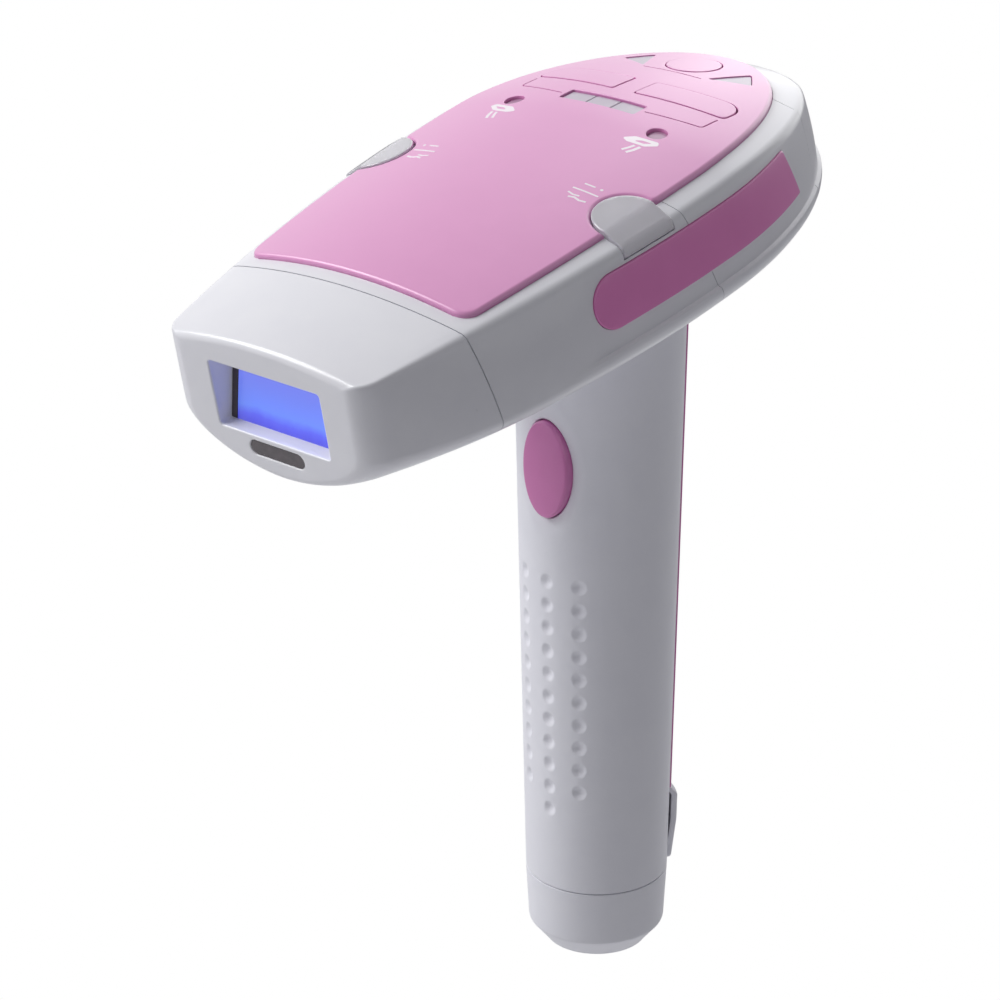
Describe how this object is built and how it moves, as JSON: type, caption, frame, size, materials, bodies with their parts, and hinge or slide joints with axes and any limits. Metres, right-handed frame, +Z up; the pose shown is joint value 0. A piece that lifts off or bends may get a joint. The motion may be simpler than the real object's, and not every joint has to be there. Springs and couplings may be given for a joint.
{
  "type": "ipl hair remover",
  "caption": "Pistol-shaped handheld light-pulse hair remover with a pull-off lamp cartridge, thumb trigger, top key panel, side inlays and a dimpled grip.",
  "frame": {"origin": "mouth of the power inlet in the middle of the grip's foot", "axes": "+Z up along the grip, -Y towards the flash window, +X to the right of someone who looks along +Y"},
  "size_m": [0.0928, 0.1747, 0.2189],
  "materials": {
    "white_abs": "moulded ABS, glossy",
    "pink_abs": "moulded ABS with a soft pearl gloss",
    "clear_polycarbonate": "clear moulded polycarbonate",
    "frosted_polycarbonate": "frosted polycarbonate",
    "filter_glass": "coated filter glass",
    "lamp_glass": "quartz tube",
    "dark_polycarbonate": "smoked polycarbonate",
    "aluminium_sheet": "polished sheet",
    "brass_contact": "plated brass",
    "black_nylon": "moulded nylon",
    "grip_frame_abs": "natural ABS",
    "capacitor_sleeve": "shrink sleeve",
    "circuit_board": "solder mask",
    "led_epoxy": "clear epoxy",
    "ferrite": "sintered ferrite",
    "coil_tape": "polyester tape",
    "screw_steel": "plated steel"
  },
  "bodies": {
    "housing": {"front_casing": "white_abs", "rear_casing": "white_abs", "rear_cap": "white_abs", "top_panel": "pink_abs", "side_inlay_left": "pink_abs", "side_inlay_right": "pink_abs", "ready_lens_left": "clear_polycarbonate", "ready_lens_right": "clear_polycarbonate", "level_window": "frosted_polycarbonate", "status_lens_left": "frosted_polycarbonate", "status_lens_right": "frosted_polycarbonate", "mode_lens_left": "frosted_polycarbonate", "mode_lens_right": "frosted_polycarbonate", "handle_shell": "white_abs", "handle_back_strip": "pink_abs", "handle_end_cap": "white_abs", "cap_screws": "screw_steel", "dc_jack": "black_nylon", "grip_chassis": "grip_frame_abs", "main_capacitor": "capacitor_sleeve", "trigger_switch": "black_nylon", "cartridge_socket": "black_nylon", "socket_contacts": "brass_contact", "fan_frame": "black_nylon", "control_board": "circuit_board", "board_screws": "screw_steel", "key_switches": "black_nylon", "indicator_leds": "led_epoxy", "transformer_core": "ferrite", "transformer_coil": "coil_tape"},
    "cartridge": {"nose_shell": "white_abs", "filter_glass": "filter_glass", "skin_sensor": "dark_polycarbonate", "reflector": "aluminium_sheet", "flash_lamp": "lamp_glass", "lamp_terminals": "brass_contact", "cartridge_chassis": "black_nylon", "cartridge_contacts": "brass_contact"},
    "trigger": {"trigger_button": "pink_abs"},
    "power_key": {"power_button": "pink_abs"},
    "left_key": {"left_button": "pink_abs"},
    "right_key": {"right_button": "pink_abs"},
    "fan": {"fan_rotor": "black_nylon"}
  },
  "joints": [
    {"name": "cartridge_slide", "type": "slide", "parent": "housing", "child": "cartridge", "axis": [0, -0.9799, -0.1994], "range_m": [0, 0.045]},
    {"name": "trigger_press", "type": "slide", "parent": "housing", "child": "trigger", "axis": [0, 1, 0], "range_m": [0, 0.002], "stiffness_N_per_m": 600},
    {"name": "power_press", "type": "slide", "parent": "housing", "child": "power_key", "axis": [0, 0.1994, -0.9799], "range_m": [0, 0.0008], "stiffness_N_per_m": 800},
    {"name": "left_press", "type": "slide", "parent": "housing", "child": "left_key", "axis": [0, 0.1994, -0.9799], "range_m": [0, 0.0008], "stiffness_N_per_m": 800},
    {"name": "right_press", "type": "slide", "parent": "housing", "child": "right_key", "axis": [0, 0.1994, -0.9799], "range_m": [0, 0.0008], "stiffness_N_per_m": 800},
    {"name": "fan_spin", "type": "hinge", "parent": "housing", "child": "fan", "pos_m": [0, -0.05307, 0.18502], "axis": [0, 0.9799, 0.1994], "continuous": true}
  ]
}
